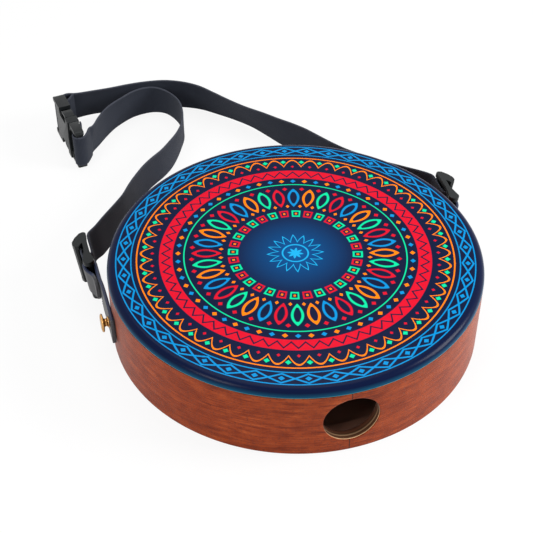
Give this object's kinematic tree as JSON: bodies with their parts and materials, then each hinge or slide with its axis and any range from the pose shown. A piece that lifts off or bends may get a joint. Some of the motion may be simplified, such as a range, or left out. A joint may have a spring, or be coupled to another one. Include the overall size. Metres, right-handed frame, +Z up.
{
  "type": "laptop cajon",
  "caption": "Shallow round wooden lap drum with a side sound port, a patterned playing board and a webbing strap with a side-release buckle.",
  "frame": {"origin": "centre of the flat underside of the drum", "axes": "+Z up out of the playing board; the sound port faces -Y; +X to the right as seen from the port; the strap lies toward +Y"},
  "size_m": [0.3378, 0.4802, 0.067],
  "materials": {
    "mahogany_veneer": "satin lacquer over grain",
    "painted_board": "dark satin paint with a printed pattern",
    "bare_plywood": "bare",
    "brass": "polished",
    "steel": "plain",
    "black_leather": "smooth with painted edges",
    "webbing": "fine woven",
    "black_plastic": "fine satin"
  },
  "bodies": {
    "drum": {"hoop": "mahogany_veneer", "tapa": "painted_board", "bottom_board": "bare_plywood", "upper_lining": "bare_plywood", "lower_lining": "bare_plywood", "button_block_left": "bare_plywood", "button_block_right": "bare_plywood", "snare_bar": "bare_plywood", "snare_wires": "steel", "strap_button_left": "brass", "strap_button_right": "brass", "button_screw_left": "steel", "button_screw_right": "steel"},
    "strap": {"leather_tab_left": "black_leather", "leather_tab_right": "black_leather", "strap_lock_left": "black_plastic", "strap_lock_right": "black_plastic", "webbing_left": "webbing", "webbing_right": "webbing", "buckle_female": "black_plastic"},
    "male_half": {"buckle_male": "black_plastic", "webbing_male_loop": "webbing"},
    "upper_prong": {"prong_upper": "black_plastic"},
    "lower_prong": {"prong_lower": "black_plastic"}
  },
  "joints": [
    {"name": "strap_swing", "type": "hinge", "parent": "drum", "child": "strap", "pos_m": [0, 0, 0.03], "axis": [1, 0, 0], "range_deg": [0, 180]},
    {"name": "buckle_release", "type": "slide", "parent": "strap", "child": "male_half", "axis": [0.1513, -0.9885, 0], "range_m": [0, 0.034], "deforming": ["webbing_left", "prong_upper", "prong_lower"]},
    {"name": "prong_upper_squeeze", "type": "hinge", "parent": "male_half", "child": "upper_prong", "pos_m": [-0.14136, 0.27132, 0.0322], "axis": [-0.9885, -0.1513, 0], "range_deg": [0, 14], "stiffness_Nm_per_rad": 0.6},
    {"name": "prong_lower_squeeze", "type": "hinge", "parent": "male_half", "child": "lower_prong", "pos_m": [-0.14136, 0.27132, 0.0086], "axis": [0.9885, 0.1513, 0], "range_deg": [0, 14], "stiffness_Nm_per_rad": 0.6}
  ]
}
